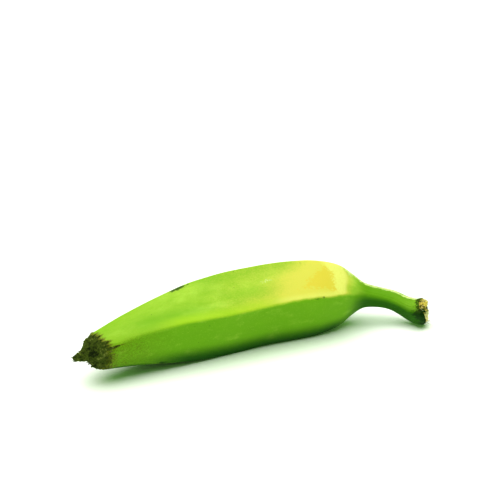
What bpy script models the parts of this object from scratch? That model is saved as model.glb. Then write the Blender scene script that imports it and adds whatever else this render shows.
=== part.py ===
"""A green cooking banana, as picked, lying on its side.

The fruit grew as one piece, so it is one solid: a dried flower tip, an angular body with
five ridges, a neck, and a stem that flares to a torn cut end.  The skin starts as a UV
sphere.  Each of its rings becomes one cross-section of the fruit and is carried along a
curved centreline.  Lengths in the tables are millimetres and angles are degrees.
"""

import math

import bmesh
import bpy
from mathutils import Vector, noise

MM = 0.001

# Stations along the centreline, measured from the flower tip.
CAP_EDGE = 20.0
NECK = 200.0
LENGTH = 249.0

# How the centreline runs: (station, heading from +X towards +Y, rise above level).
COURSE = (
    (0, 20, -8),
    (15, 19, -1),
    (30, 18, 3),
    (45, 16, 0.5),
    (62, 14, -1),
    (85, 11, 4),
    (110, 7, 2),
    (150, 2, -1),
    (180, -3, -2),
    (200, -10, -7),
    (222, -22, -11),
    (233, -36, -25),
    (241, -48, -14),
    (249, -54, 8),
)

# Mean radius of the cross-section: (station, radius).
GIRTH = (
    (0, 0.0),
    (0.7, 0.8),
    (4, 1.8),
    (8, 3.3),
    (11, 5.6),
    (13, 8.2),
    (16, 10.4),
    (20, 11.9),
    (27, 13.3),
    (35, 14.9),
    (50, 17.7),
    (70, 21.2),
    (90, 23.7),
    (115, 24.9),
    (145, 24.9),
    (166, 24.2),
    (180, 22.0),
    (189, 19.2),
    (196, 14.9),
    (202, 10.8),
    (208, 7.7),
    (222, 6.4),
    (234, 6.5),
    (241, 7.5),
    (247.5, 8.4),
    (249, 8.1),
)

# How far a ring leans forward at its foot and back at its head: (station, distance).
LEAN = (
    (0, 0.0),
    (12, 1.2),
    (20, 0.8),
    (32, 0.0),
    (230, 0.0),
    (242, 1.6),
    (249, 1.2),
)

# How far the section goes from round (0) to five-sided (1): (station, share).
ANGULAR = (
    (0, 0.0),
    (16, 0.1),
    (33, 0.35),
    (60, 0.6),
    (90, 0.8),
    (150, 0.85),
    (185, 0.7),
    (200, 0.6),
    (240, 0.6),
    (249, 0.2),
)

# The ridges' places round the section: 0 faces the bend's hollow side, 90 is up.
RIDGES = (21, 96, 165, 235, 303)
# How far all the ridges wind round the fruit: (station, turn).
TWIST = (
    (0, 12),
    (40, 12),
    (70, 9),
    (100, 1),
    (120, 0),
    (205, 0),
    (218, -4),
    (232, -13),
    (249, -3),
)
RIDGE_SHARPNESS = 15
# A five-sided section's scale, which gives it the girth of a round one.
FIVE_SIDED_SCALE = 1.12

# Unevenness of the skin: (depth, how busy it is round the fruit, length of its waves along it).
LUMPS = (0.45, 1.1, 34)
CAP_FOLDS = (1.0, 3.4, 9)
STEM_GROOVES = (0.35, 3.0, 60)
# The torn cut: how far its fibres stand out at random, how busy they are, and its swell.
TORN_DEPTH = 1.6
TORN_BUSY = 3.2
CUT_SWELL = 1.2
CUT_LIP = 0.4

# Rings of the mesh: (from station, to station, number of rings).
RING_ZONES = (
    (0, 14, 10),
    (14, 38, 17),
    (38, 160, 34),
    (160, 205, 18),
    (205, 240, 11),
    (240, 249, 7),
)
CUT_RINGS = 7
SIDES_PER_FACE = 9
# How much closer the sides' edges crowd beside a ridge: 0 is evenly, 1 is most.
CROWDING = 0.45

# Depth that the fruit's own weight presses flat where it touches the surface.
PRESSED = 1.2

# Finishes of the one skin, in the order of their slots: (name, colour, roughness).
FINISHES = (
    ("green_peel", (0.30, 0.56, 0.05), 0.45),
    ("dried_cap", (0.06, 0.08, 0.02), 0.85),
    ("torn_cut", (0.55, 0.42, 0.15), 0.8),
)
PEEL, CAP, CUT = range(len(FINISHES))


def smooth_curve(table, column):
    """A smooth function through one column of a table, which never swings past its points."""
    xs = [row[0] for row in table]
    ys = [row[column] for row in table]
    slopes = [(ys[i + 1] - ys[i]) / (xs[i + 1] - xs[i]) for i in range(len(xs) - 1)]
    tangents = [slopes[0]]
    for before, after in zip(slopes, slopes[1:]):
        same_way = before * after > 0
        tangents.append(2 * before * after / (before + after) if same_way else 0.0)
    tangents.append(slopes[-1])

    def value(x):
        x = min(max(x, xs[0]), xs[-1])
        i = max(k for k in range(len(xs) - 1) if xs[k] <= x)
        span = xs[i + 1] - xs[i]
        t = (x - xs[i]) / span
        return (
            ys[i] * (1 + 2 * t) * (1 - t) ** 2
            + tangents[i] * span * t * (1 - t) ** 2
            + ys[i + 1] * t * t * (3 - 2 * t)
            - tangents[i + 1] * span * t * t * (1 - t)
        )

    return value


heading = smooth_curve(COURSE, 1)
rise = smooth_curve(COURSE, 2)
girth = smooth_curve(GIRTH, 1)
angular = smooth_curve(ANGULAR, 1)
lean = smooth_curve(LEAN, 1)
twist = smooth_curve(TWIST, 1)


def direction(station):
    """The way that the centreline runs at a station."""
    turn, climb = math.radians(heading(station)), math.radians(rise(station))
    return Vector(
        (math.cos(turn) * math.cos(climb), math.sin(turn) * math.cos(climb), math.sin(climb))
    )


def centreline(step=0.5):
    """Points of the centreline, one every step, found by walking along its course."""
    points = [Vector((0, 0, 0))]
    for i in range(round(LENGTH / step)):
        points.append(points[-1] + direction((i + 0.5) * step) * step)
    return points


def five_sided(angle):
    """Distance to a rounded five-sided outline whose corners are the ridges, before they wind."""
    total = 0.0
    for i, start in enumerate(RIDGES):
        end = RIDGES[(i + 1) % len(RIDGES)]
        half = math.radians((end - start) % 360) / 2
        facing = math.cos(angle - math.radians(start) - half)
        if facing > 0:
            total += (facing / math.cos(half)) ** RIDGE_SHARPNESS
    return FIVE_SIDED_SCALE * total ** (-1 / RIDGE_SHARPNESS)


def side_angle(side):
    """The angle of one side's edge, counted from the first ridge."""
    face, place = divmod(side, SIDES_PER_FACE)
    start = RIDGES[face]
    width = (RIDGES[(face + 1) % len(RIDGES)] - start) % 360
    share = place / SIDES_PER_FACE
    share -= CROWDING * math.sin(math.tau * share) / math.tau
    return math.radians(start + width * share)


def ring_stations():
    """Stations of the rings, from the flower tip to the rim of the cut."""
    stations = []
    for start, end, count in RING_ZONES:
        stations += [start + (end - start) * i / count for i in range(count)]
    return stations + [LENGTH]


def step_up(low, high, value):
    """0 below low, 1 above high, and a smooth slope between."""
    t = min(max((value - low) / (high - low), 0), 1)
    return t * t * (3 - 2 * t)


def uneven(kind, station, angle):
    """A random swelling of the skin, in millimetres."""
    depth, busy, wave = kind
    place = Vector((busy * math.cos(angle), busy * math.sin(angle), station / wave))
    return depth * noise.noise(place)


def relief(station, angle):
    """Lumps on the body, folds on the dried cap and grooves on the stem."""
    on_cap = 1 - step_up(CAP_EDGE - 3, CAP_EDGE + 5, station)
    on_stem = step_up(NECK - 12, NECK + 8, station)
    lumps = (1 - on_cap) * (1 - on_stem) * uneven(LUMPS, station, angle)
    folds = on_cap * step_up(1, 12, station) * uneven(CAP_FOLDS, station, angle)
    grooves = on_stem * uneven(STEM_GROOVES, station, angle)
    return lumps + folds + grooves


def skin_point(station, angle, path):
    """A point of the skin, at an angle that winds with the ridges."""
    forward = direction(station)
    hollow_side = forward.cross(Vector((0, 0, 1))).normalized()
    upward = hollow_side.cross(forward)
    place = station / LENGTH * (len(path) - 1)
    i = min(int(place), len(path) - 2)
    centre = path[i].lerp(path[i + 1], place - i)
    share = angular(station)
    radius = girth(station) * (1 - share + share * five_sided(angle))
    radius += relief(station, angle) * min(1, girth(station) / 4)
    turned = angle + math.radians(twist(station))
    outward = math.cos(turned) * hollow_side + math.sin(turned) * upward
    return centre + radius * outward - lean(station) * math.sin(turned) * forward


def cut_point(inward, angle, path):
    """A point of the torn cut: inward is 0 at its rim and 1 at its middle."""
    rim = skin_point(LENGTH, angle, path)
    middle = path[-1]
    across = Vector((math.cos(angle), math.sin(angle), 0)) * (1 - inward)
    torn = TORN_DEPTH * noise.noise(across * TORN_BUSY)
    swell = CUT_SWELL * math.sin(math.pi * inward)
    out = (torn + swell) * step_up(0, 0.3, inward) + CUT_LIP * step_up(0, 0.1, inward)
    return rim.lerp(middle, inward) + direction(LENGTH) * out


def material(name, colour, roughness):
    """A plain finish."""
    finish = bpy.data.materials.new(name)
    finish.use_nodes = True
    shader = finish.node_tree.nodes["Principled BSDF"]
    shader.inputs["Base Color"].default_value = (*colour, 1)
    shader.inputs["Roughness"].default_value = roughness
    shader.inputs["Metallic"].default_value = 0.0
    return finish


def build_banana():
    """The whole fruit as one closed skin."""
    stations = ring_stations()
    rings = len(stations) - 1 + CUT_RINGS
    sides = SIDES_PER_FACE * len(RIDGES)
    path = centreline()

    mesh = bpy.data.meshes.new("banana")
    skin = bmesh.new()
    bmesh.ops.create_uvsphere(skin, u_segments=sides, v_segments=rings, radius=1)
    for face in skin.faces:
        ring = round(math.acos(face.calc_center_median().normalized().z) / math.pi * rings - 0.5)
        if ring >= len(stations) - 1:
            face.material_index = CUT
        elif stations[ring] < CAP_EDGE:
            face.material_index = CAP
        else:
            face.material_index = PEEL
    for vertex in skin.verts:
        x, y, z = vertex.co
        ring = round(math.acos(max(-1, min(1, z))) / math.pi * rings)
        angle = side_angle(round(math.atan2(y, x) / math.tau * sides) % sides)
        if ring < len(stations):
            vertex.co = skin_point(stations[ring], angle, path)
        else:
            vertex.co = cut_point((ring - len(stations) + 1) / CUT_RINGS, angle, path)

    lowest = min(vertex.co.z for vertex in skin.verts) + PRESSED
    for vertex in skin.verts:
        vertex.co.z = max(vertex.co.z - lowest, 0)
    middle = [
        (min(v.co[axis] for v in skin.verts) + max(v.co[axis] for v in skin.verts)) / 2
        for axis in (0, 1)
    ]
    bmesh.ops.translate(skin, verts=skin.verts, vec=(-middle[0], -middle[1], 0))
    bmesh.ops.scale(skin, verts=skin.verts, vec=(MM, MM, MM))
    bmesh.ops.recalc_face_normals(skin, faces=skin.faces)
    skin.to_mesh(mesh)
    skin.free()
    mesh.shade_smooth()

    for name, colour, roughness in FINISHES:
        mesh.materials.append(material(name, colour, roughness))
    return bpy.data.objects.new("banana", mesh)


def main():
    for obj in list(bpy.data.objects):
        bpy.data.objects.remove(obj)
    fruit = bpy.data.collections.new("green_banana")
    bpy.context.scene.collection.children.link(fruit)
    fruit.objects.link(build_banana())


main()
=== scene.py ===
"""The looks of a green cooking banana that lies on its side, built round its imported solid."""

import math
import random

import bpy
import numpy as np
from mathutils import Matrix, Quaternion, Vector, kdtree, noise


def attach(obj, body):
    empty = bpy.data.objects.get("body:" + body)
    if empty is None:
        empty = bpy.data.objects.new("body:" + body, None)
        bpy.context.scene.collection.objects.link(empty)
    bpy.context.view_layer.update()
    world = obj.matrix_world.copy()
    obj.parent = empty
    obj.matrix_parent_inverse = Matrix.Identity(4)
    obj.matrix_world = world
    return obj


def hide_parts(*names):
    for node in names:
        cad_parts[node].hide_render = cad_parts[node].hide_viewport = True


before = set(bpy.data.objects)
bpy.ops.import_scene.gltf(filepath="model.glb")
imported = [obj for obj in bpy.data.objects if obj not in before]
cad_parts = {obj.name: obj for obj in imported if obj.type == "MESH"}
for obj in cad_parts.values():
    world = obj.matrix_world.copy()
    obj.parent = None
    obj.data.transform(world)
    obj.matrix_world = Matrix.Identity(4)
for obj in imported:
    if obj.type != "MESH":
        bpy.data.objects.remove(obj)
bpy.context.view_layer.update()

# The camera stands in front of the fruit, turned towards its flower end, 0.75 m off, and looks
# down on it. Its long lens fills the square picture with the fruit and leaves a little room.
CAMERA_AZIMUTH = math.radians(-21)
CAMERA_ELEVATION = math.radians(21)
CAMERA_DISTANCE = 0.75
CAMERA_AIM = Vector((0.0075, 0.0198, 0.0551))
CAMERA_LENS = 83.58
PICTURE_GAMMA = 0.88

towards_camera = Vector((
    math.sin(CAMERA_AZIMUTH) * math.cos(CAMERA_ELEVATION),
    -math.cos(CAMERA_AZIMUTH) * math.cos(CAMERA_ELEVATION),
    math.sin(CAMERA_ELEVATION),
))
bpy.ops.object.camera_add(location=CAMERA_AIM + CAMERA_DISTANCE * towards_camera)
camera = bpy.context.object
camera.name = "camera"
camera.rotation_euler = towards_camera.to_track_quat("Z", "Y").to_euler()
camera.data.lens = CAMERA_LENS
camera.data.sensor_width = 36
bpy.context.scene.camera = camera
bpy.context.scene.view_settings.view_transform = "Standard"
bpy.context.scene.view_settings.gamma = PICTURE_GAMMA

# The studio: a white table that runs out of sight, one very broad lamp overhead, and a faint
# green glow from all round that tints the shadows. The room behind the table shows plain white.
TABLE_SIZE = 16
# The table lies a hair below the fruit, so that the two surfaces don't coincide.
TABLE_GAP = 0.00005
LAMP_STRENGTH = 3.7
LAMP_SPREAD = math.radians(84)
LAMP_COLOUR = (1.0, 0.82, 1.03)
TOWARDS_LAMP = Vector((-0.15, 0.05, 1))
GLOW_COLOUR = (0.47, 1.0, 0.27, 1)
GLOW_STRENGTH = 0.66


def light_rgb(red, green, blue):
    """A colour given in 0 to 255 steps, as the linear values that shaders take."""
    steps = (red / 255, green / 255, blue / 255)
    linear = [s / 12.92 if s < 0.04045 else ((s + 0.055) / 1.055) ** 2.4 for s in steps]
    return (*linear, 1)


def new_finish(name, shine):
    """A new material and its shader; shine is how strongly it mirrors."""
    finish = bpy.data.materials.new(name)
    finish.use_nodes = True
    shader = finish.node_tree.nodes["Principled BSDF"]
    shader.inputs["Specular IOR Level"].default_value = shine
    return finish, shader


def put(owner, kind, inputs=None, **settings):
    """Adds a shader node, sets its options, and fills its inputs with values or links."""
    made = owner.node_tree.nodes.new("ShaderNode" + kind)
    for option, value in settings.items():
        setattr(made, option, value)
    for socket, value in (inputs or {}).items():
        if isinstance(value, bpy.types.NodeSocket):
            owner.node_tree.links.new(value, made.inputs[socket])
        else:
            made.inputs[socket].default_value = value
    return made


bpy.ops.mesh.primitive_plane_add(size=TABLE_SIZE, location=(0, 0, -TABLE_GAP))
table = bpy.context.object
table.name = "table"
paper, paper_shader = new_finish("white_table", 0.1)
paper_shader.inputs["Base Color"].default_value = light_rgb(252, 252, 252)
paper_shader.inputs["Roughness"].default_value = 0.9
table.data.materials.append(paper)

bpy.ops.object.light_add(type="SUN", location=(0, 0.2, 1))
lamp = bpy.context.object
lamp.name = "overhead_lamp"
lamp.data.energy = LAMP_STRENGTH
lamp.data.angle = LAMP_SPREAD
lamp.data.color = LAMP_COLOUR
lamp.rotation_euler = TOWARDS_LAMP.to_track_quat("Z", "Y").to_euler()

room = bpy.data.worlds.new("room")
bpy.context.scene.world = room
room.use_nodes = True
glow = room.node_tree.nodes["Background"]
glow.inputs["Color"].default_value = GLOW_COLOUR
glow.inputs["Strength"].default_value = GLOW_STRENGTH
backdrop = put(room, "Background", {"Color": (1, 1, 1, 1), "Strength": 1.0})
seen = put(room, "LightPath").outputs["Is Camera Ray"]
either = put(room, "MixShader", {0: seen, 1: glow.outputs[0], 2: backdrop.outputs[0]})
room.node_tree.links.new(either.outputs[0], room.node_tree.nodes["World Output"].inputs[0])

# The fruit: it grew as one piece, so flower cap, peel, neck, stem and torn cut are one skin.
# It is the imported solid's own surface, smoothed, with the fine relief that grew or dried on it.
# Lengths in this section are millimetres, angles are degrees, as in the solid's own design.
MM = 0.001
LENGTH = 249.0
NECK = 200.0
# The belly's radius, on which the markings' arcs are measured.
BELLY = 23
# How the centreline runs: station, heading from +X towards +Y, rise above level.
COURSE = (
    (0, 20, -8), (15, 19, -1), (30, 18, 3), (45, 16, 0.5), (62, 14, -1), (85, 11, 4),
    (110, 7, 2), (150, 2, -1), (180, -3, -2), (200, -10, -7), (222, -22, -11),
    (233, -36, -25), (241, -48, -14), (249, -54, 8),
)
# How the ridges wind round the fruit: station, turn.
TWIST = (
    (0, 12), (40, 12), (70, 9), (100, 1), (120, 0), (205, 0), (218, -4), (232, -13), (249, -3),
)
RIDGES = (21, 96, 165, 235, 303)
# Two of the solid's triangles are one face of its skin up to this angle between them.
SAME_FACE = math.radians(60)


def select_only(*chosen):
    """Deselects everything, then selects the chosen objects and makes the first one active."""
    bpy.ops.object.select_all(action="DESELECT")
    for one in chosen:
        one.select_set(True)
    bpy.context.view_layer.objects.active = chosen[0] if chosen else None


skin = bpy.data.objects.new("banana_skin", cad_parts["banana"].data.copy())
bpy.context.scene.collection.objects.link(skin)
skin.data.materials.clear()
select_only(skin)
bpy.ops.mesh.customdata_custom_splitnormals_clear()
bpy.ops.object.mode_set(mode="EDIT")
bpy.ops.mesh.select_all(action="SELECT")
bpy.ops.mesh.remove_doubles(threshold=0.000001)
bpy.ops.mesh.tris_convert_to_quads(face_threshold=SAME_FACE, shape_threshold=SAME_FACE)
bpy.ops.object.mode_set(mode="OBJECT")
smooth = skin.modifiers.new("smooth_growth", "SUBSURF")
smooth.levels = 2
smooth.render_levels = 2
bpy.ops.object.modifier_apply(modifier=smooth.name)
bpy.ops.object.shade_smooth()


def vectors_of(parts, name):
    """The places or the normals of a mesh's vertices, as rows of an array."""
    values = np.zeros(len(parts) * 3, np.float32)
    parts.foreach_get(name, values)
    return values.reshape(-1, 3).astype(float)


def read_table(table, place, column=1):
    """The value at a place, on straight lines between the rows of a table."""
    rows = np.array(table)
    return np.interp(place, rows[:, 0], rows[:, column])


def rise(low, high, value):
    """0 below low, 1 above high, with a smooth slope between."""
    share = np.clip((value - low) / (high - low), 0, 1)
    return share * share * (3 - 2 * share)


def fall(low, high, value):
    """1 below low, 0 above high, with a smooth slope between."""
    return 1 - rise(low, high, value)


def stretch(start, full, fading, gone, value):
    """1 from full to fading, with a smooth slope to 0 at either end."""
    return rise(start, full, value) * fall(fading, gone, value)


def bell(gap, width):
    """1 where a gap is nothing, falling away to 0 past a width."""
    return np.exp(-(gap / width) ** 2)


def wobble(places, octaves=1):
    """Smooth random values between about -1 and 1 at an array of places."""
    if octaves == 1:
        return np.array([noise.noise(Vector(p)) for p in places])
    return np.array([noise.fractal(Vector(p), 1.0, 2.0, octaves) for p in places])


def crumpled(kinds):
    """Random relief of a few kinds, each with its depth, its size and its octaves."""
    return sum(depth * wobble(points / size, octaves) for depth, size, octaves in kinds)


# The centreline, found by walking along its course from the flower tip, and its directions.
STEP = 0.25
points = vectors_of(skin.data.vertices, "co") / MM
steps = np.arange(0, LENGTH + STEP, STEP)
headings = np.radians(read_table(COURSE, steps))
climbs = np.radians(read_table(COURSE, steps, 2))
forward = np.stack([
    np.cos(headings) * np.cos(climbs), np.sin(headings) * np.cos(climbs), np.sin(climbs)
], 1)
flower_tip = points[points[:, 0].argmin()]
walked = np.cumsum(forward[:-1] * STEP, 0)
centreline = flower_tip + np.concatenate([np.zeros((1, 3)), walked])
hollow_side = np.cross(forward, (0, 0, 1))
hollow_side /= np.linalg.norm(hollow_side, axis=1)[:, None]
upward = np.cross(hollow_side, forward)

# Every point of the skin gets its station along the fruit and its angle round it, which counts
# from the bend's hollow side, upwards, and winds with the ridges.
finder = kdtree.KDTree(len(centreline))
for i, place in enumerate(centreline):
    finder.insert(place, i)
finder.balance()
nearest = np.array([finder.find(p)[1] for p in points])
outward = points - centreline[nearest]
station = steps[nearest] + (outward * forward[nearest]).sum(1)
raised = (outward * upward[nearest]).sum(1)
sideways = (outward * hollow_side[nearest]).sum(1)
angle = np.degrees(np.arctan2(raised, sideways)) - read_table(TWIST, station)
angle = (angle + 180) % 360 - 180
girth = np.linalg.norm(outward, axis=1)
# The skin as a tube of even thickness, so that random patterns close round it.
TUBE = 25
round_skin = np.stack([
    np.cos(np.radians(angle)), np.sin(np.radians(angle)), station / TUBE
], 1)


def round_from(start):
    """How far each point lies round the skin from an angle, the shorter way."""
    return np.radians((angle - start + 180) % 360 - 180) * girth


# The dried cap's border, station against angle, and the dried tongues that run out from it
# along the fruit: angle, half width, length.
CAP_BORDER = (
    (-180, 17.5), (-63, 18.3), (-35, 18.6), (-21, 19.4), (-7, 19.6), (5, 19.8), (15, 19.3),
    (26, 18.0), (46, 16.8), (58, 16.2), (73, 16.4), (91, 16.2), (180, 17.5),
)
TONGUES = (
    (-150, 1.0, 4.0), (-118, 0.8, 2.6), (-84, 0.7, 2.4), (-50, 0.8, 2.2),
    (16, 0.9, 7.5), (26, 0.7, 2.4), (36, 0.9, 3.2), (51, 0.6, 1.4),
    (67, 1.0, 3.4), (84, 0.7, 1.6), (112, 0.9, 3.6), (146, 1.1, 3.0),
)
# Smaller, random tongues: length, and how busy they are round the fruit (twice) and along it.
SMALL_TONGUES = ((1.6, (4.2, 4.2, 0.3)), (1.3, (11, 11, 1)))
# The stations between which the stem begins, and how sharply the cap ends.
STEM_BEGINS = (NECK - 12, NECK + 8)
CAP_ENDS = (-0.5, 0.7)
tongues = sum(length * wobble(round_skin * busy) for length, busy in SMALL_TONGUES)
for middle, half_width, length in TONGUES:
    tongues += length * np.maximum(0, 1 - np.abs(round_from(middle)) / half_width)
cap_reach = read_table(CAP_BORDER, angle) + tongues - station
on_cap = rise(*CAP_ENDS, cap_reach)
on_stem = rise(*STEM_BEGINS, station)
body = (1 - on_cap) * (1 - on_stem)

# The torn cut leans back at its head. Places on it are measured from its middle, towards the
# bend's hollow side and up.
CUT_LEAN = 1.2 / 8.1
CUT_BEGINS = (-0.25, 0.35)
STEM_END = 12
end_middle, end_out, end_side, end_up = centreline[-1], forward[-1], hollow_side[-1], upward[-1]
cut_side = (points - end_middle) @ end_side
cut_up = (points - end_middle) @ end_up
past_rim = (points - end_middle) @ end_out + CUT_LEAN * cut_up
near_end = station > LENGTH - STEM_END
on_cut = rise(*CUT_BEGINS, past_rim) * near_end


def on_end(side, up, radius):
    """1 at a place on the cut, falling away to 0 past a radius."""
    return bell(np.hypot(cut_side - side, cut_up - up), radius)


# Relief of the body and the stem: ridges, crisp near the flower end, with a trough above the
# front one, small dents, folds along the stem, and the tatters of a frayed line that runs over it.
# A stretch is four stations: where it starts, is full, begins to fade and is gone.
CREST_HEIGHT, CREST_WIDTH = 0.45, 1.6
CREST_BEGINS, CREST_SOFTENS = (25, 60), (105, 140)
TROUGH_DEPTH, TROUGH_OFFSET, TROUGH_WIDTH = 0.45, 6.5, 3.0
TROUGH_STRETCH = (24, 50, 78, 112)
DENT_DEPTH, DENTS_BUSY = 0.22, (2.2, 2.2, 0.8)
FOLD_DEPTH, FOLDS_BUSY = 0.22, (7, 7, 0.3)
TATTER_HEIGHT, TATTER_SIZE = 0.55, 1.8
LINE_WIDTH, LINE_STRETCH = 1.2, (186, 193, 243, 246)
# The frayed line's course over the stem: station, angle.
LINE_COURSE = (
    (186, 90), (205, 86), (212, 86), (218, 89), (225, 91), (230, 92), (237, 95), (246, 94),
)
ridge_gap = np.min([np.abs(round_from(ridge)) for ridge in RIDGES], 0)
crest = CREST_HEIGHT * bell(ridge_gap, CREST_WIDTH) * body * rise(*CREST_BEGINS, station)
crest *= 1 - 0.8 * rise(*CREST_SOFTENS, station)
above_ridge = round_from(RIDGES[0])
trough = TROUGH_DEPTH * bell(above_ridge - TROUGH_OFFSET, TROUGH_WIDTH) * body
trough *= stretch(*TROUGH_STRETCH, station)
dents = DENT_DEPTH * wobble(round_skin * DENTS_BUSY) * (1 - on_cap)
folds = FOLD_DEPTH * wobble(round_skin * FOLDS_BUSY) * on_stem * (1 - on_cut)
stem_line = bell(round_from(read_table(LINE_COURSE, station)), LINE_WIDTH)
stem_line *= stretch(*LINE_STRETCH, station)
tatters = TATTER_HEIGHT * stem_line * (0.55 + wobble(points / TATTER_SIZE, 2))
relief = (crest - trough + dents + folds + tatters) * (1 - on_cut)

# Relief of the cap: crumpled at three sizes, less so near its tip, with a sunken spot, a swollen
# tip and a raised lip at its border. Each crumpling: depth, size, octaves.
CRUMPLES = ((0.75, 4.6, 2), (0.45, 1.9, 2), (0.2, 0.8, 1))
SMOOTHER_TIP = (7, 14)
SWOLLEN_HEIGHT, SWOLLEN_STRETCH = 0.55, (0.2, 1.5, 4, 9)
SUNKEN_DEPTH = 0.9
SUNKEN_STATION, SUNKEN_ANGLE = 11.0, 22
SUNKEN_LENGTH, SUNKEN_WIDTH = 2.7, 3.2
LIP_HEIGHT, LIP_WIDTH = 0.35, 0.8
sunken = bell(station - SUNKEN_STATION, SUNKEN_LENGTH)
sunken *= bell(round_from(SUNKEN_ANGLE), SUNKEN_WIDTH)
sunken *= 0.8 + 0.5 * wobble(points / 1.6, 2)
crumple = crumpled(CRUMPLES) - SUNKEN_DEPTH * sunken
crumple *= 1 - 0.45 * fall(*SMOOTHER_TIP, station)
swollen_tip = SWOLLEN_HEIGHT + 0.5 * wobble(points / 1.2)
swollen_tip *= stretch(*SWOLLEN_STRETCH, station)
relief += on_cap * (crumple + swollen_tip)
relief += LIP_HEIGHT * bell(cap_reach - LIP_WIDTH, LIP_WIDTH)
# The flat spot that the fruit rests on stays as it is: nothing this low gets any relief.
FLAT_SPOT = 0.02
relief[points[:, 2] < FLAT_SPOT] = 0
points += relief[:, None] * vectors_of(skin.data.vertex_normals, "vector")

# Relief of the cut: a lobe of fibres above a hollow, a torn surface all over, a lip of bark
# that stands out on the side of the bend's hollow, and a lip bent up at its head.
# Places on the cut: side, up, radius.
LOBE = (-3.2, 6.0, 3.2)
HOLE = (-4.6, 1.4, 1.3)
STRANDS = (-1.8, -3.2, 4.2)
UPPER_LIP = (-4.2, 7.2, 4.4)
LOBE_HEIGHT, HOLE_DEPTH = 2.0, 2.2
BARK_LIP, FLAP_MORE, UPPER_LIP_RISE = 2.6, 0.8, 1.8
# Between which places the lips rise: along the stem past the rim, to the side, and up.
BARK_BEGINS, BARK_SIDE, UPPER_LIP_BEGINS = (-6, 0), (0.5, 8), (-3.5, 0.5)
FLAP_SIDE, FLAP_UP = (1.2, 3.4), (-1.5, 1.5)
# Its tears: depth, size, octaves.
TEARS = ((0.75, 1.3, 3), (0.7, 4.0, 1))
lobe, hole = on_end(*LOBE), on_end(*HOLE)
out = on_cut * (crumpled(TEARS) + LOBE_HEIGHT * lobe - HOLE_DEPTH * hole)
flap = rise(*FLAP_SIDE, cut_side) * fall(*FLAP_UP, cut_up)
bark_lip = rise(*BARK_BEGINS, past_rim) * near_end * rise(*BARK_SIDE, cut_side)
out += bark_lip * (BARK_LIP + FLAP_MORE * flap)
upper_lip = UPPER_LIP_RISE * on_end(*UPPER_LIP) * rise(*UPPER_LIP_BEGINS, past_rim) * near_end
points += out[:, None] * end_out + upper_lip[:, None] * end_up
points[:, 2] = np.maximum(points[:, 2], 0)
skin.data.vertices.foreach_set("co", (points * MM).astype(np.float32).ravel())
skin.data.update()


def store(mesh, name, values):
    """Keeps one value for each vertex under a name that a material can read."""
    kept = mesh.attributes.new(name, "FLOAT", "POINT")
    kept.data.foreach_set("value", np.asarray(values, np.float32))


# Where each finish lies: the unrolled skin carries the peel's patterns, and the cap, the cut and
# its rim are kept as the distance inside them, so that their edges can be frayed. The rim is
# widest beside the cut. A factor before a value is the greatest share of the tone it brings.
wrap = skin.data.attributes.new("wrap", "FLOAT_VECTOR", "POINT")
wrap.data.foreach_set("vector", (round_skin * TUBE).astype(np.float32).ravel())
FAR_FROM_CUT = -50
HEAD_BEGINS = (1.5, 5.0)
BESIDE_UP, BESIDE_SIDE = (-1.5, 1.5, 3.2, 5.6), (-2.5, 1.0)
above = rise(*HEAD_BEGINS, cut_up)
beside_cut = stretch(*BESIDE_UP, cut_up) * rise(*BESIDE_SIDE, cut_side)
rim_reach = past_rim - 1.2 * above + 1.5 * beside_cut
cut_reach = past_rim - 3.2 * flap + 0.4 * above - 1.5 * beside_cut
store(skin.data, "cap", cap_reach)
# How much darker the sunken spot is painted: painted shade in its hollow.
store(skin.data, "sunken", 0.24 * sunken)
store(skin.data, "rim", np.where(near_end, rim_reach, FAR_FROM_CUT))
store(skin.data, "cut", np.where(near_end, cut_reach, FAR_FROM_CUT))
store(skin.data, "flap", np.where(near_end, 0.9 * (1 - above), 0))
store(skin.data, "bark", on_cut * np.hypot(cut_side, cut_up))
store(skin.data, "lobe", on_cut * lobe)
store(skin.data, "hole", on_cut * 0.4 * hole)
store(skin.data, "strands", on_cut * on_end(*STRANDS))

# The sunny top face, yellower and also painted lighter as the lit side, has a crisp edge along the
# front ridge, softer towards both ends, and the ridge itself carries a painted highlight, a
# brighter
# line. The edge's half width and its angle, both by station:
EDGE_WIDTH = ((18, 9), (45, 6), (75, 1.8), (110, 2.4), (150, 4.0), (190, 4.5))
EDGE_ANGLE = ((110, 20.2), (130, 21.5), (150, 23.0), (185, 22.5))
TOP_FACE_ENDS = (98, 122)
# The painted highlight along the ridge: how far above the ridge it starts, is full, fades and is
# gone, and its stretch.
HIGHLIGHT_ACROSS, HIGHLIGHT_STRETCH = (-0.8, 0.6, 1.5, 7.5), (45, 70, 120, 150)
edge_width = read_table(EDGE_WIDTH, station)
edge_angle = read_table(EDGE_ANGLE, station)
edge_angle += 0.35 * edge_width * wobble(round_skin * (1, 1, 2.6), 2)
top_face = rise(edge_angle - edge_width, edge_angle + edge_width, angle)
top_face *= fall(*TOP_FACE_ENDS, angle)
painted_ridge_highlight = stretch(*HIGHLIGHT_ACROSS, above_ridge) * stretch(*HIGHLIGHT_STRETCH, station)
store(skin.data, "sunny", top_face)
store(skin.data, "ridge", 0.5 * painted_ridge_highlight * body)

# Oval markings: strength, station, angle, length, width and, for some, slant.
# The first markings are painted sheen: pale spots of painted light on the top face.
PAINTED_SHEEN_SPOTS = (
    (1.0, 72, 72, 30, 8), (0.8, 96, 40, 26, 4), (0.9, 139, 62, 15, 7),
    (1.7, 195, 50, 7, 20), (1.6, 121, 57, 9, 5),
)
DUSKY = ((0.45, 103, 57, 6, 4), (0.3, 92, 70, 9, 4))
BRUISED = (
    (1.2, 79, 94, 7, 1.5), (0.9, 55, -54, 4, 1.2), (0.8, 28, 63, 0.7, 0.8),
    (0.7, 53, 59, 0.6, 0.6), (0.5, 164, 21, 6, 0.5), (0.75, 169, 23, 0.8, 0.8),
)
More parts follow.
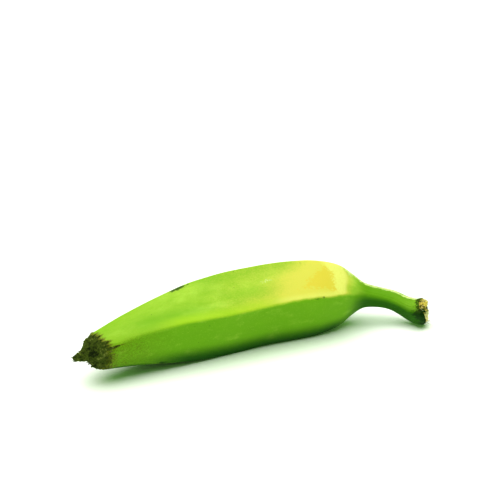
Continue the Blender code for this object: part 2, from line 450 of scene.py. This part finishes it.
# Pale scuffs, and last a long painted highlight along the top edge near the flower end.
SCUFFS_AND_RIM_HIGHLIGHT = ((0.85, 133, 64, 5, 1.8, -1.0), (1.0, 195, 86, 3.5, 5.0), (0.85, 47, 105, 34, 2.4))
# The brown stain's corners on the yellow shoulder, anticlockwise: station, angle.
STAIN_CORNERS = ((158, 42), (179, 34), (180.5, 70), (177.5, 82))
# Wider tones: the dusky flower end, painted shade on the far edge of the top face, painted shade
# in the trough above the front ridge, and the olive flower end below it.
DUSKY_END = (62, 92)
FAR_EDGE_ANGLES, FAR_EDGE_STRETCH = (62, 94), (80, 98, 150, 182)
HOLLOW_OFFSET, HOLLOW_WIDTH, HOLLOW_STRETCH = 7.0, 4.2, (28, 52, 78, 104)
OLIVE_STATIONS, OLIVE_ANGLES = (22, 70), (12, 30)
arc = np.radians(angle) * BELLY


def oval(at, around, length, width, slant=0.0):
    """1 in the middle of an oval marking, falling away to 0."""
    beside = arc - np.radians(around) * BELLY
    return bell(station - at + slant * beside, length) * bell(beside, width)


def ovals(markings):
    """The sum of some oval markings, each at its strength."""
    return sum(strength * oval(*marking) for strength, *marking in markings)


def inside(corners):
    """Distance inside a marking's straight sides."""
    gaps = []
    for (at, around), (next_at, next_around) in zip(corners, corners[1:] + corners[:1]):
        start = np.radians(around) * BELLY
        along, beside = next_at - at, np.radians(next_around) * BELLY - start
        gap = along * (arc - start) - beside * (station - at)
        gaps.append(gap / math.hypot(along, beside))
    return np.min(gaps, 0)


dusk = ovals(DUSKY) + 0.3 * fall(*DUSKY_END, station) * top_face
far_edge_shade = rise(*FAR_EDGE_ANGLES, angle) * stretch(*FAR_EDGE_STRETCH, station)
# Painted shade in the trough above the front ridge.
hollow = bell(above_ridge - HOLLOW_OFFSET, HOLLOW_WIDTH) * stretch(*HOLLOW_STRETCH, station)
store(skin.data, "painted_sheen", ovals(PAINTED_SHEEN_SPOTS) * top_face)
store(skin.data, "dusk", dusk)
store(skin.data, "bruise", ovals(BRUISED))
store(skin.data, "scuff_and_highlight", ovals(SCUFFS_AND_RIM_HIGHLIGHT))
store(skin.data, "stain", inside(STAIN_CORNERS))
store(skin.data, "far_edge_shade", 0.75 * far_edge_shade * top_face)
store(skin.data, "trough", 0.8 * hollow * body)
store(skin.data, "olive", fall(*OLIVE_STATIONS, station) * fall(*OLIVE_ANGLES, angle))

# The yellow shoulder: faint from halfway along the top face, full on the shoulder, which starts
# later towards the back, and gone at the neck, on a wavy edge. It starts sooner just above the
# ridge, and is paler there and towards the neck. Stations, and angles where the name says so.
FAINT_BEGINS, FULL_BEGINS, FAINT_SHARE = (70, 132), (122, 158), 0.32
LATER_BY, LATER_ANGLES = 24, (50, 100)
RIDGE_BEGINS, RIDGE_ANGLES = (86, 126), (30, 50)
NECK_FADES, NECK_ENDS = (186, 192.5), (191, 201)
PALE_BEGINS, PALE_ANGLES = (174, 181), (24, 34)
slanted = station - LATER_BY * rise(*LATER_ANGLES, angle)
yellow = FAINT_SHARE * rise(*FAINT_BEGINS, station)
yellow += (1 - FAINT_SHARE) * rise(*FULL_BEGINS, slanted)
sooner = FAINT_SHARE * rise(*RIDGE_BEGINS, station) * fall(*RIDGE_ANGLES, angle)
yellow += sooner * (1 - yellow)
wavy = station + 2 * np.sin(arc / 6)
yellow *= top_face * (fall(*NECK_FADES, wavy) + fall(*NECK_ENDS, wavy)) / 2
pale_end = np.maximum(rise(*PALE_BEGINS, station), 0.8 * fall(*PALE_ANGLES, angle))
store(skin.data, "yellow", yellow)
store(skin.data, "far_yellow", pale_end * rise(0.5, 0.9, yellow))

# The underside and the back carry painted shade in deep green, darkest below the underside's rim,
# which runs at these angles by station, and reaching further up the neck on the back. The stem is a
# deeper green with painted shade on its lower side, whose soft edge climbs near the cut. The
# stretch, what ends or weakens, where the stem's green begins and where the shade climbs are
# stations, as is how much further it reaches behind. The others are angles.
LOW_RIM, RIM_WIDTH = ((40, -44), (90, -56), (130, -50), (170, -46)), 16
UNDERSIDE, BACK, UNDER_STRETCH = (-54, -22), (148, 172), (35, 75, 180, 202)
UNDER_ENDS, FURTHER_BEHIND = (185, 200), 9
BEHIND_ABOVE, BEHIND_BELOW = (90, 150), (-130, -80)
STEM_GREEN_BEGINS, STEM_GREEN_WEAKENS = (194, 209), (222, 232)
SHADE_TOP, SHADE_WIDTH, SHADE_CLIMB, SHADE_CLIMBS = 17, 25, 13, (224, 236)
STEM_BACK = (135, 172)
back = rise(*BACK, angle)
low_rim = read_table(LOW_RIM, station)
shaded = fall(*UNDERSIDE, angle) + back
shaded *= 0.2 + 0.8 * stretch(*UNDER_STRETCH, station)
lowest = fall(low_rim - RIM_WIDTH, low_rim, angle) + back
behind = FURTHER_BEHIND * (rise(*BEHIND_ABOVE, angle) + fall(*BEHIND_BELOW, angle))
shaded = np.maximum(shaded, 0.9 * lowest * fall(*UNDER_ENDS, station - behind))
shade_top = SHADE_TOP + SHADE_CLIMB * rise(*SHADE_CLIMBS, station)
stem_shade = fall(-SHADE_WIDTH, SHADE_WIDTH, angle - shade_top) + rise(*STEM_BACK, angle)
stem_green = rise(*STEM_GREEN_BEGINS, station) * (1 - 0.2 * rise(*STEM_GREEN_WEAKENS, station))
store(skin.data, "painted_underside_shade", shaded * (1 - on_cap))
store(skin.data, "stem", 0.85 * stem_green)
store(skin.data, "stem_shade", 0.9 * stem_shade * on_stem)
store(skin.data, "stem_line", stem_line)


def field(material, name):
    """The value that a mesh keeps under a name."""
    return put(material, "Attribute", attribute_name=name).outputs["Fac"]


def maths(material, operation, first, second):
    """One calculation with two values."""
    return put(material, "Math", {0: first, 1: second}, operation=operation).outputs[0]


def between(material, value, low, high, start=0.0, end=1.0):
    """A smooth slope from start at low to end at high."""
    slope = {"Value": value, "From Min": low, "From Max": high, "To Min": start, "To Max": end}
    return put(material, "MapRange", slope, interpolation_type="SMOOTHSTEP").outputs[0]


def over(material, share, below, above):
    """One colour laid over another by a share."""
    mixed = put(material, "Mix", {0: share, 6: below, 7: above}, data_type="RGBA")
    return mixed.outputs[2]


def grain(material, where, scale, detail, stretched=(1, 1, 1), rough=0.5):
    """A cloudy random value around 0.5, stretched along the three directions."""
    placed = put(material, "Mapping", {"Vector": where, "Scale": stretched}).outputs[0]
    cloud = {"Vector": placed, "Scale": scale, "Detail": detail, "Roughness": rough}
    return put(material, "TexNoise", cloud).outputs["Fac"]


# Nearly all of a cloud's values lie between these two.
THIN, THICK = 0.3, 0.7


def frayed(material, value, cloud, at_thin, at_thick):
    """A value that a cloud makes uneven, by at_thin where it is thin to at_thick where thick."""
    return maths(material, "ADD", value, between(material, cloud, THIN, THICK, at_thin, at_thick))


def worn(material, value, cloud, low, high, at_low, at_high):
    """A value that a cloud weakens, to between at_low and at_high times what it was."""
    return maths(material, "MULTIPLY", value, between(material, cloud, low, high, at_low, at_high))


peel, shader = new_finish("green_peel", 0.09)
skin.data.materials.append(peel)
unrolled = put(peel, "Attribute", attribute_name="wrap").outputs["Vector"]
solid_place = put(peel, "TexCoord").outputs["Object"]
streaks = grain(peel, unrolled, scale=0.45, detail=3, stretched=(1, 1, 0.07))
patches = grain(peel, unrolled, scale=0.035, detail=3, stretched=(1, 1, 0.7), rough=0.55)
mottle = grain(peel, unrolled, scale=0.09, detail=4, stretched=(1, 1, 0.6), rough=0.62)
freckle = grain(peel, unrolled, scale=1.1, detail=3, rough=0.7)
blotch = grain(peel, unrolled, scale=0.45, detail=4, rough=0.75)
crust = grain(peel, solid_place, scale=260, detail=5, rough=0.7)
fleck = grain(peel, solid_place, scale=1100, detail=3, rough=0.65)
fibres = grain(peel, solid_place, scale=800, detail=4, rough=0.65)

# Living peel: yellower on the sunny face, which is also painted lighter as the lit side, with
# painted shade in deep green below, faintly streaked and mottled.
SHADED_GREEN = light_rgb(112, 162, 18)
LIT_SUNNY_GREEN = light_rgb(152, 184, 50)
UNDERSIDE_SHADE_GREEN = light_rgb(30, 84, 6)
MID_GREEN = light_rgb(122, 170, 30)
PALE_GREEN = light_rgb(186, 214, 86)
RIDGE_HIGHLIGHT_GREEN = light_rgb(174, 204, 36)
OLIVE = light_rgb(98, 106, 12)
# The clouds in the green: cloud, where it starts, where it is full, greatest share, colour.
CLOUDS = (
    (streaks, 0.48, 0.72, 0.09, MID_GREEN),
    (mottle, 0.48, 0.70, 0.40, MID_GREEN),
    (mottle, 0.46, 0.28, 0.24, PALE_GREEN),
    (patches, 0.50, 0.64, 0.30, MID_GREEN),
    (freckle, 0.50, 0.74, 0.34, MID_GREEN),
    (freckle, 0.48, 0.26, 0.22, PALE_GREEN),
)
# Painted light and shade: the sunny top face is lighter, the lower faces darker.
colour = over(peel, field(peel, "sunny"), SHADED_GREEN, LIT_SUNNY_GREEN)
for cloud, start, full, greatest, tone in CLOUDS:
    colour = over(peel, between(peel, cloud, start, full, 0, greatest), colour, tone)
# Painted shade in the trough and on the top face's far edge, and the dusky flower end.
for name in ("trough", "dusk", "far_edge_shade"):
    colour = over(peel, field(peel, name), colour, MID_GREEN)
# Painted sheen: pale spots of painted light on the top face, broken by the mottle.
painted_sheen_share = worn(peel, field(peel, "painted_sheen"), mottle, 0.3, 0.6, 0.42, 0.10)
olive_end = worn(peel, field(peel, "olive"), freckle, 0.42, 0.66, 0.12, 0.9)
colour = over(peel, painted_sheen_share, colour, PALE_GREEN)
colour = over(peel, olive_end, colour, OLIVE)
# Painted shade on the underside and the back, in deep green.
colour = over(peel, field(peel, "painted_underside_shade"), colour, UNDERSIDE_SHADE_GREEN)

# The yellow shoulder fades in softly; its brown stain has a crisp, freckled edge.
YELLOW = light_rgb(210, 200, 88)
PALE_YELLOW = light_rgb(224, 220, 124)
STAIN = light_rgb(212, 191, 70)
ripe = frayed(peel, field(peel, "yellow"), mottle, 0.06, -0.06)
ripe = frayed(peel, ripe, freckle, 0.09, -0.09)
colour = over(peel, between(peel, ripe, 0.02, 0.98), colour, YELLOW)
# The painted highlight along the front ridge.
colour = over(peel, field(peel, "ridge"), colour, RIDGE_HIGHLIGHT_GREEN)
near_neck = worn(peel, field(peel, "far_yellow"), freckle, THIN, THICK, 0.5, 1)
colour = over(peel, near_neck, colour, PALE_YELLOW)
stain = frayed(peel, field(peel, "stain"), blotch, -2.3, 2.3)
stain = frayed(peel, stain, freckle, -1.6, 1.6)
colour = over(peel, between(peel, stain, -1.3, 0.3, 0, 0.9), colour, STAIN)

# Small marks: bruises, pale scuffs, a painted highlight along the top edge near the flower end, and
# a few dark specks, one in some of the peel's cells.
BRUISE = light_rgb(28, 60, 10)
SCUFF_AND_HIGHLIGHT_PALE = light_rgb(222, 230, 190)
CELL_SCALE, CELLS_WITHOUT, SPECK_SIZE = 0.16, 0.72, (0.04, 0.08)
bruise = frayed(peel, field(peel, "bruise"), freckle, -0.35, 0.35)
colour = over(peel, between(peel, bruise, 0.35, 0.75, 0, 0.85), colour, BRUISE)
scuff_and_highlight = frayed(peel, field(peel, "scuff_and_highlight"), freckle, -0.5, 0.3)
scuff_and_highlight = frayed(peel, scuff_and_highlight, blotch, -0.3, 0.05)
colour = over(peel, between(peel, scuff_and_highlight, 0.36, 0.9, 0, 0.65), colour, SCUFF_AND_HIGHLIGHT_PALE)
cells = put(peel, "TexVoronoi", {"Vector": unrolled, "Scale": CELL_SCALE})
lot = put(peel, "SeparateColor", {0: cells.outputs["Color"]}).outputs[0]
in_cell = between(peel, cells.outputs["Distance"], *SPECK_SIZE, 0.5, 0.0)
speck = maths(peel, "MULTIPLY", maths(peel, "GREATER_THAN", lot, CELLS_WITHOUT), in_cell)
colour = over(peel, speck, colour, BRUISE)

# The stem: painted shade darkens it below, over a deeper green of its own, with a frayed whitish
# line along its top edge, partly a painted highlight.
STEM_GREEN = light_rgb(97, 150, 16)
STEM_SHADE_GREEN = light_rgb(34, 92, 2)
FRAYED_LINE_AND_HIGHLIGHT_CREAM = light_rgb(222, 226, 160)
colour = over(peel, field(peel, "stem"), colour, STEM_GREEN)
# Painted shade on the stem's lower side.
colour = over(peel, field(peel, "stem_shade"), colour, STEM_SHADE_GREEN)
# The frayed whitish line: torn, pale tissue, partly a painted highlight along the stem's top edge.
line = frayed(peel, field(peel, "stem_line"), freckle, -0.4, 0.2)
line = frayed(peel, line, blotch, -0.45, 0.1)
colour = over(peel, between(peel, line, 0.32, 0.62, 0, 0.95), colour, FRAYED_LINE_AND_HIGHLIGHT_CREAM)

# The dried cap: rough olive-brown with pale and near-black flecks, and a rusty seam at its edge,
# which is frayed least on the sunny face.
CAP_BROWN = light_rgb(68, 80, 22)
CAP_DARK = light_rgb(20, 30, 6)
CAP_PALE = light_rgb(122, 126, 64)
RUST = light_rgb(98, 88, 20)
crust_tone = frayed(peel, crust, fleck, -0.10, 0.10)
# The sunken spot is painted darker: painted shade in its hollow.
crust_tone = maths(peel, "SUBTRACT", crust_tone, field(peel, "sunken"))
cap_colour = over(peel, between(peel, crust_tone, 0.26, 0.54), CAP_DARK, CAP_BROWN)
cap_colour = over(peel, between(peel, crust_tone, 0.55, 0.70, 0, 0.75), cap_colour, CAP_PALE)
loose = between(peel, field(peel, "sunny"), 0, 1, 3.4, 0.7)
spread = worn(peel, loose, fleck, THIN, THICK, -1, 1)
cap_edge = maths(peel, "ADD", field(peel, "cap"), spread)
colour = over(peel, between(peel, cap_edge, -4.2, -0.6, 0, 0.85), colour, RUST)
colour = over(peel, between(peel, cap_edge, -0.5, 0.4), colour, cap_colour)

# The torn cut: golden fibres on top, with painted light on the lobe, a hollow with painted shade,
# pale strands below, and a dark dried rim.
CUT_TAN = light_rgb(226, 196, 96)
CUT_PALE = light_rgb(240, 226, 170)
LIT_LOBE_GOLD = light_rgb(246, 220, 120)
CUT_DARK = light_rgb(58, 44, 14)
RIM_DARK = light_rgb(44, 54, 12)
LIP_GREEN = light_rgb(10, 50, 0)
bright = maths(peel, "ADD", field(peel, "lobe"), field(peel, "strands"))
fibre_tone = maths(peel, "ADD", fibres, between(peel, bright, 0.1, 0.9, -0.12, 0.16))
# The hollow is painted darker: painted shade.
fibre_tone = maths(peel, "SUBTRACT", fibre_tone, field(peel, "hole"))
cut_colour = over(peel, between(peel, fibre_tone, 0.30, 0.46), CUT_DARK, CUT_TAN)
paler = between(peel, field(peel, "strands"), 0.2, 0.8, -0.1, 0.24)
pale_tone = maths(peel, "ADD", fibres, paler)
cut_colour = over(peel, between(peel, pale_tone, 0.50, 0.66), cut_colour, CUT_PALE)
# The lobe on top is painted a brighter gold: painted light, over its own golden fibres.
sunlit = worn(peel, field(peel, "lobe"), fibres, 0.4, 0.6, 0.15, 0.8)
cut_colour = over(peel, sunlit, cut_colour, LIT_LOBE_GOLD)
bark = frayed(peel, field(peel, "bark"), fleck, -1.0, 1.0)
cut_colour = over(peel, between(peel, bark, 6.9, 8.3, 0, 0.9), cut_colour, RIM_DARK)
rim_colour = over(peel, field(peel, "flap"), RIM_DARK, LIP_GREEN)
rim_edge = frayed(peel, field(peel, "rim"), fleck, -1.6, 1.6)
rim_edge = maths(peel, "ADD", rim_edge, between(peel, blotch, 0.35, 0.65, -1.2, 1.2))
colour = over(peel, between(peel, rim_edge, -4.0, -1.8, 0, 0.9), colour, rim_colour)
cut_edge = frayed(peel, field(peel, "cut"), fleck, -1.3, 1.3)
colour = over(peel, between(peel, cut_edge, 0.1, 0.6), colour, cut_colour)

# The peel's sheen is a waxy satin, the cap and the cut are dull, and a little light goes in.
SATIN_ROUGHNESS = (0.42, 0.54)
DRY_ROUGHNESS = 0.9
dry_cap = between(peel, field(peel, "cap"), -0.5, 0.5)
dry_cut = between(peel, cut_edge, -2, -0.8)
dryness = maths(peel, "MAXIMUM", dry_cap, dry_cut)
satin = between(peel, mottle, THIN, THICK, *SATIN_ROUGHNESS)
sheen = put(peel, "Mix", {0: dryness, 2: satin, 3: DRY_ROUGHNESS}, data_type="FLOAT")
peel.node_tree.links.new(colour, shader.inputs["Base Color"])
peel.node_tree.links.new(sheen.outputs[0], shader.inputs["Roughness"])
shader.inputs["Subsurface Weight"].default_value = 0.08
shader.inputs["Subsurface Radius"].default_value = (0.6, 1.0, 0.1)
shader.inputs["Subsurface Scale"].default_value = 0.002

# Its fine relief: pores and lengthwise fibre on the peel, crust on the cap and the cut.
PORE_DEPTH, PORE_STRENGTH = 0.3 * MM, 0.12
CRUST_DEPTH, CRUST_STRENGTH = 0.8 * MM, 0.9
pores = grain(peel, unrolled, scale=2.2, detail=2, stretched=(1, 1, 0.35))
fine = put(peel, "Bump", {"Strength": PORE_STRENGTH, "Distance": PORE_DEPTH, "Height": pores})
crusty = maths(peel, "MULTIPLY", dryness, maths(peel, "ADD", crust, fleck))
coarse = put(peel, "Bump", {
    "Strength": CRUST_STRENGTH, "Distance": CRUST_DEPTH, "Height": crusty, "Normal": fine.outputs[0]
})
peel.node_tree.links.new(coarse.outputs[0], shader.inputs["Normal"])

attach(skin, "root")
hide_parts("banana")

# Torn fibres: dry, pale strands of the stalk's tissue that pulled out where it was broken from
# its hand. Each is one bent, tapering hair with its root in the cut.
FIBRE_RADIUS = 0.15
# How deep the roots sit, and how much the hairs lean out from the cut's middle for each mm.
FIBRE_ROOT = 0.4
FIBRE_SPLAY = 0.06
# The two ends of a hair 1 mm long: place, length of its handles, share of the full radius.
ROOT_END = ((0, 0, 0), 0.4, 1.0)
FREE_END = ((0.28, 0, 1), 0.3, 0.25)
# Where they stand on the cut: side, up, spread, how many, length.
TUFTS = (
    (-1.5, 6.4, 2.6, 16, 1.2), (-4.4, 2.0, 2.0, 10, 1.4), (-2.6, -2.0, 2.0, 12, 1.5),
    (-0.5, -6.0, 1.6, 12, 2.3), (4.5, 5.0, 2.0, 8, 1.0),
)
FIBRE_PALE = light_rgb(240, 236, 205)
FIBRE_BROWN = light_rgb(120, 92, 40)

select_only()
bpy.ops.curve.primitive_bezier_curve_add()
strand = bpy.context.object
strand.data.bevel_depth = FIBRE_RADIUS * MM
strand.data.bevel_resolution = 1
strand.data.resolution_u = 5
strand.data.use_fill_caps = True
knots = strand.data.splines[0].bezier_points
for knot, (at, handle, radius) in zip(knots, (ROOT_END, FREE_END)):
    knot.co = Vector(at) * MM
    knot.handle_left_type = "FREE"
    knot.handle_right_type = "FREE"
    knot.handle_left = knot.co - Vector((0, 0, handle)) * MM
    knot.handle_right = knot.co + Vector((0, 0, handle)) * MM
    knot.radius = radius
bpy.ops.object.convert(target="MESH")

draw = random.Random(23)
fibre_roots = []
for side, up, spread, count, length in TUFTS:
    for i in range(count):
        at_side = draw.gauss(side, spread / 2)
        at_up = draw.gauss(up, spread / 2)
        gap = np.hypot(cut_side - at_side, cut_up - at_up)
        closest = np.where(on_cut < 0.8, np.inf, gap).argmin()
        lean = Vector((
            draw.uniform(-0.5, 0.5), draw.uniform(-0.5, 0.5), draw.uniform(-0.25, 0.35)
        ))
        away = Vector(cut_side[closest] * end_side + cut_up[closest] * end_up)
        aim = (Vector(end_out) + lean + FIBRE_SPLAY * away).normalized()
        fibre_roots.append((Vector(points[closest]), aim, length * draw.uniform(0.6, 1.5)))


def copy_of(original, placed):
    """A copy of an object with a mesh of its own, put in its place."""
    copy = original.copy()
    copy.data = original.data.copy()
    bpy.context.scene.collection.objects.link(copy)
    copy.data.transform(placed)
    return copy


def join_all(copies, name):
    """One smoothly shaded object made of all the copies."""
    select_only(*copies)
    bpy.ops.object.join()
    whole = bpy.context.object
    whole.name = name
    bpy.ops.object.shade_smooth()
    return whole


strands = []
for root, aim, length in fibre_roots:
    turn = aim.to_track_quat("Z", "Y") @ Quaternion((0, 0, 1), draw.uniform(0, math.tau))
    thickness = draw.uniform(0.7, 1.3)
    place = (root - FIBRE_ROOT * aim) * MM
    scale = (thickness, thickness, length + FIBRE_ROOT)
    hair = copy_of(strand, Matrix.LocRotScale(place, turn, scale))
    store(hair.data, "tone", [draw.random()] * len(hair.data.vertices))
    strands.append(hair)
bpy.data.objects.remove(strand)
fibre_tuft = join_all(strands, "torn_fibres")

dry_fibre, shader = new_finish("dry_fibre", 0.15)
fibre_tuft.data.materials.append(dry_fibre)
along_hair = put(dry_fibre, "TexCoord").outputs["Object"]
ageing = grain(dry_fibre, along_hair, scale=900, detail=3)
age = frayed(dry_fibre, field(dry_fibre, "tone"), ageing, -0.2, 0.2)
fibre_colour = over(dry_fibre, between(dry_fibre, age, 0.55, 0.95), FIBRE_PALE, FIBRE_BROWN)
dry_fibre.node_tree.links.new(fibre_colour, shader.inputs["Base Color"])
shader.inputs["Roughness"].default_value = 0.85

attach(fibre_tuft, "root")

# Scraps of the dried flower: brittle, curled flakes that still stand out of the cap and its tip.
# Each is one pointed blade, thick enough to be solid, with its root in the crust.
FLAKE_THICKNESS = 0.35
FLAKE_ROOT = 0.3
# A blade 1 mm long: how fast it narrows to its point, how far it curls back, how it is cupped.
FLAKE_POINT, FLAKE_CURL, FLAKE_CUP = 0.8, 0.25, 0.5
# Flakes in known places: station, angle, length, width, thickness, how far they stand off.
FLAKES = [
    (13.2, -58, 3.8, 2.8, 3.2, 0.14), (12.6, -104, 2.2, 1.8, 1.6, 0.2),
    (1.6, 60, 1.6, 1.2, 1.2, 0.5), (1.2, -40, 1.7, 1.2, 1.2, 0.6),
    (1.8, 160, 1.8, 1.4, 1.2, 0.7), (2.6, -110, 1.8, 1.3, 1.2, 0.6),
]
STRAY_FLAKES = 26

select_only()
bpy.ops.mesh.primitive_grid_add(x_subdivisions=4, y_subdivisions=8, size=1)
flake = bpy.context.object
for vertex in flake.data.vertices:
    up_blade = vertex.co.y + 0.5
    waist = 0.75 + 0.35 * math.sin(9 * up_blade)
    across = vertex.co.x * waist * (1 - up_blade) ** FLAKE_POINT
    bent = FLAKE_CURL * up_blade ** 2 - FLAKE_CUP * across ** 2
    vertex.co = Vector((across, bent, up_blade)) * MM
thicken = flake.modifiers.new("thickness", "SOLIDIFY")
thicken.thickness = FLAKE_THICKNESS * MM
thicken.offset = 0
bpy.ops.object.modifier_apply(modifier=thicken.name)
rounded = flake.modifiers.new("worn_edges", "SUBSURF")
rounded.levels = 1
rounded.render_levels = 1
bpy.ops.object.modifier_apply(modifier=rounded.name)

for i in range(STRAY_FLAKES):
    at, around, length = draw.uniform(6, 17.5), draw.uniform(-180, 180), draw.uniform(1.0, 2.2)
    FLAKES.append((at, around, length, draw.uniform(0.8, 1.7), 1.0, draw.uniform(0.1, 0.35)))
normals = vectors_of(skin.data.vertex_normals, "vector")
flakes = []
for at, around, length, width, thickness, stand in FLAKES:
    closest = np.hypot(station - at, round_from(around)).argmin()
    off = Vector(normals[closest])
    aim = (stand * off - Vector(forward[nearest[closest]])).normalized()
    side_way = aim.cross(off).normalized()
    turned = Matrix((side_way, aim.cross(side_way), aim)).transposed().to_4x4()
    root = Matrix.Translation((Vector(points[closest]) - FLAKE_ROOT * off) * MM)
    flakes.append(copy_of(flake, root @ turned @ Matrix.Diagonal((width, thickness, length, 1))))
bpy.data.objects.remove(flake)
scraps = join_all(flakes, "flower_scraps")

dried_flower, shader = new_finish("dried_flower", 0.15)
scraps.data.materials.append(dried_flower)
within = put(dried_flower, "TexCoord").outputs["Object"]
tone = grain(dried_flower, within, scale=500, detail=4, rough=0.7)
scrap_colour = over(dried_flower, between(dried_flower, tone, 0.32, 0.6), CAP_DARK, CAP_BROWN)
palest = between(dried_flower, tone, 0.56, 0.74, 0, 0.7)
scrap_colour = over(dried_flower, palest, scrap_colour, CAP_PALE)
crinkle = grain(dried_flower, within, scale=1400, detail=3)
crinkled = put(dried_flower, "Bump", {"Strength": 0.7, "Distance": 0.4 * MM, "Height": crinkle})
dried_flower.node_tree.links.new(scrap_colour, shader.inputs["Base Color"])
dried_flower.node_tree.links.new(crinkled.outputs[0], shader.inputs["Normal"])
shader.inputs["Roughness"].default_value = 0.9

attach(scraps, "root")
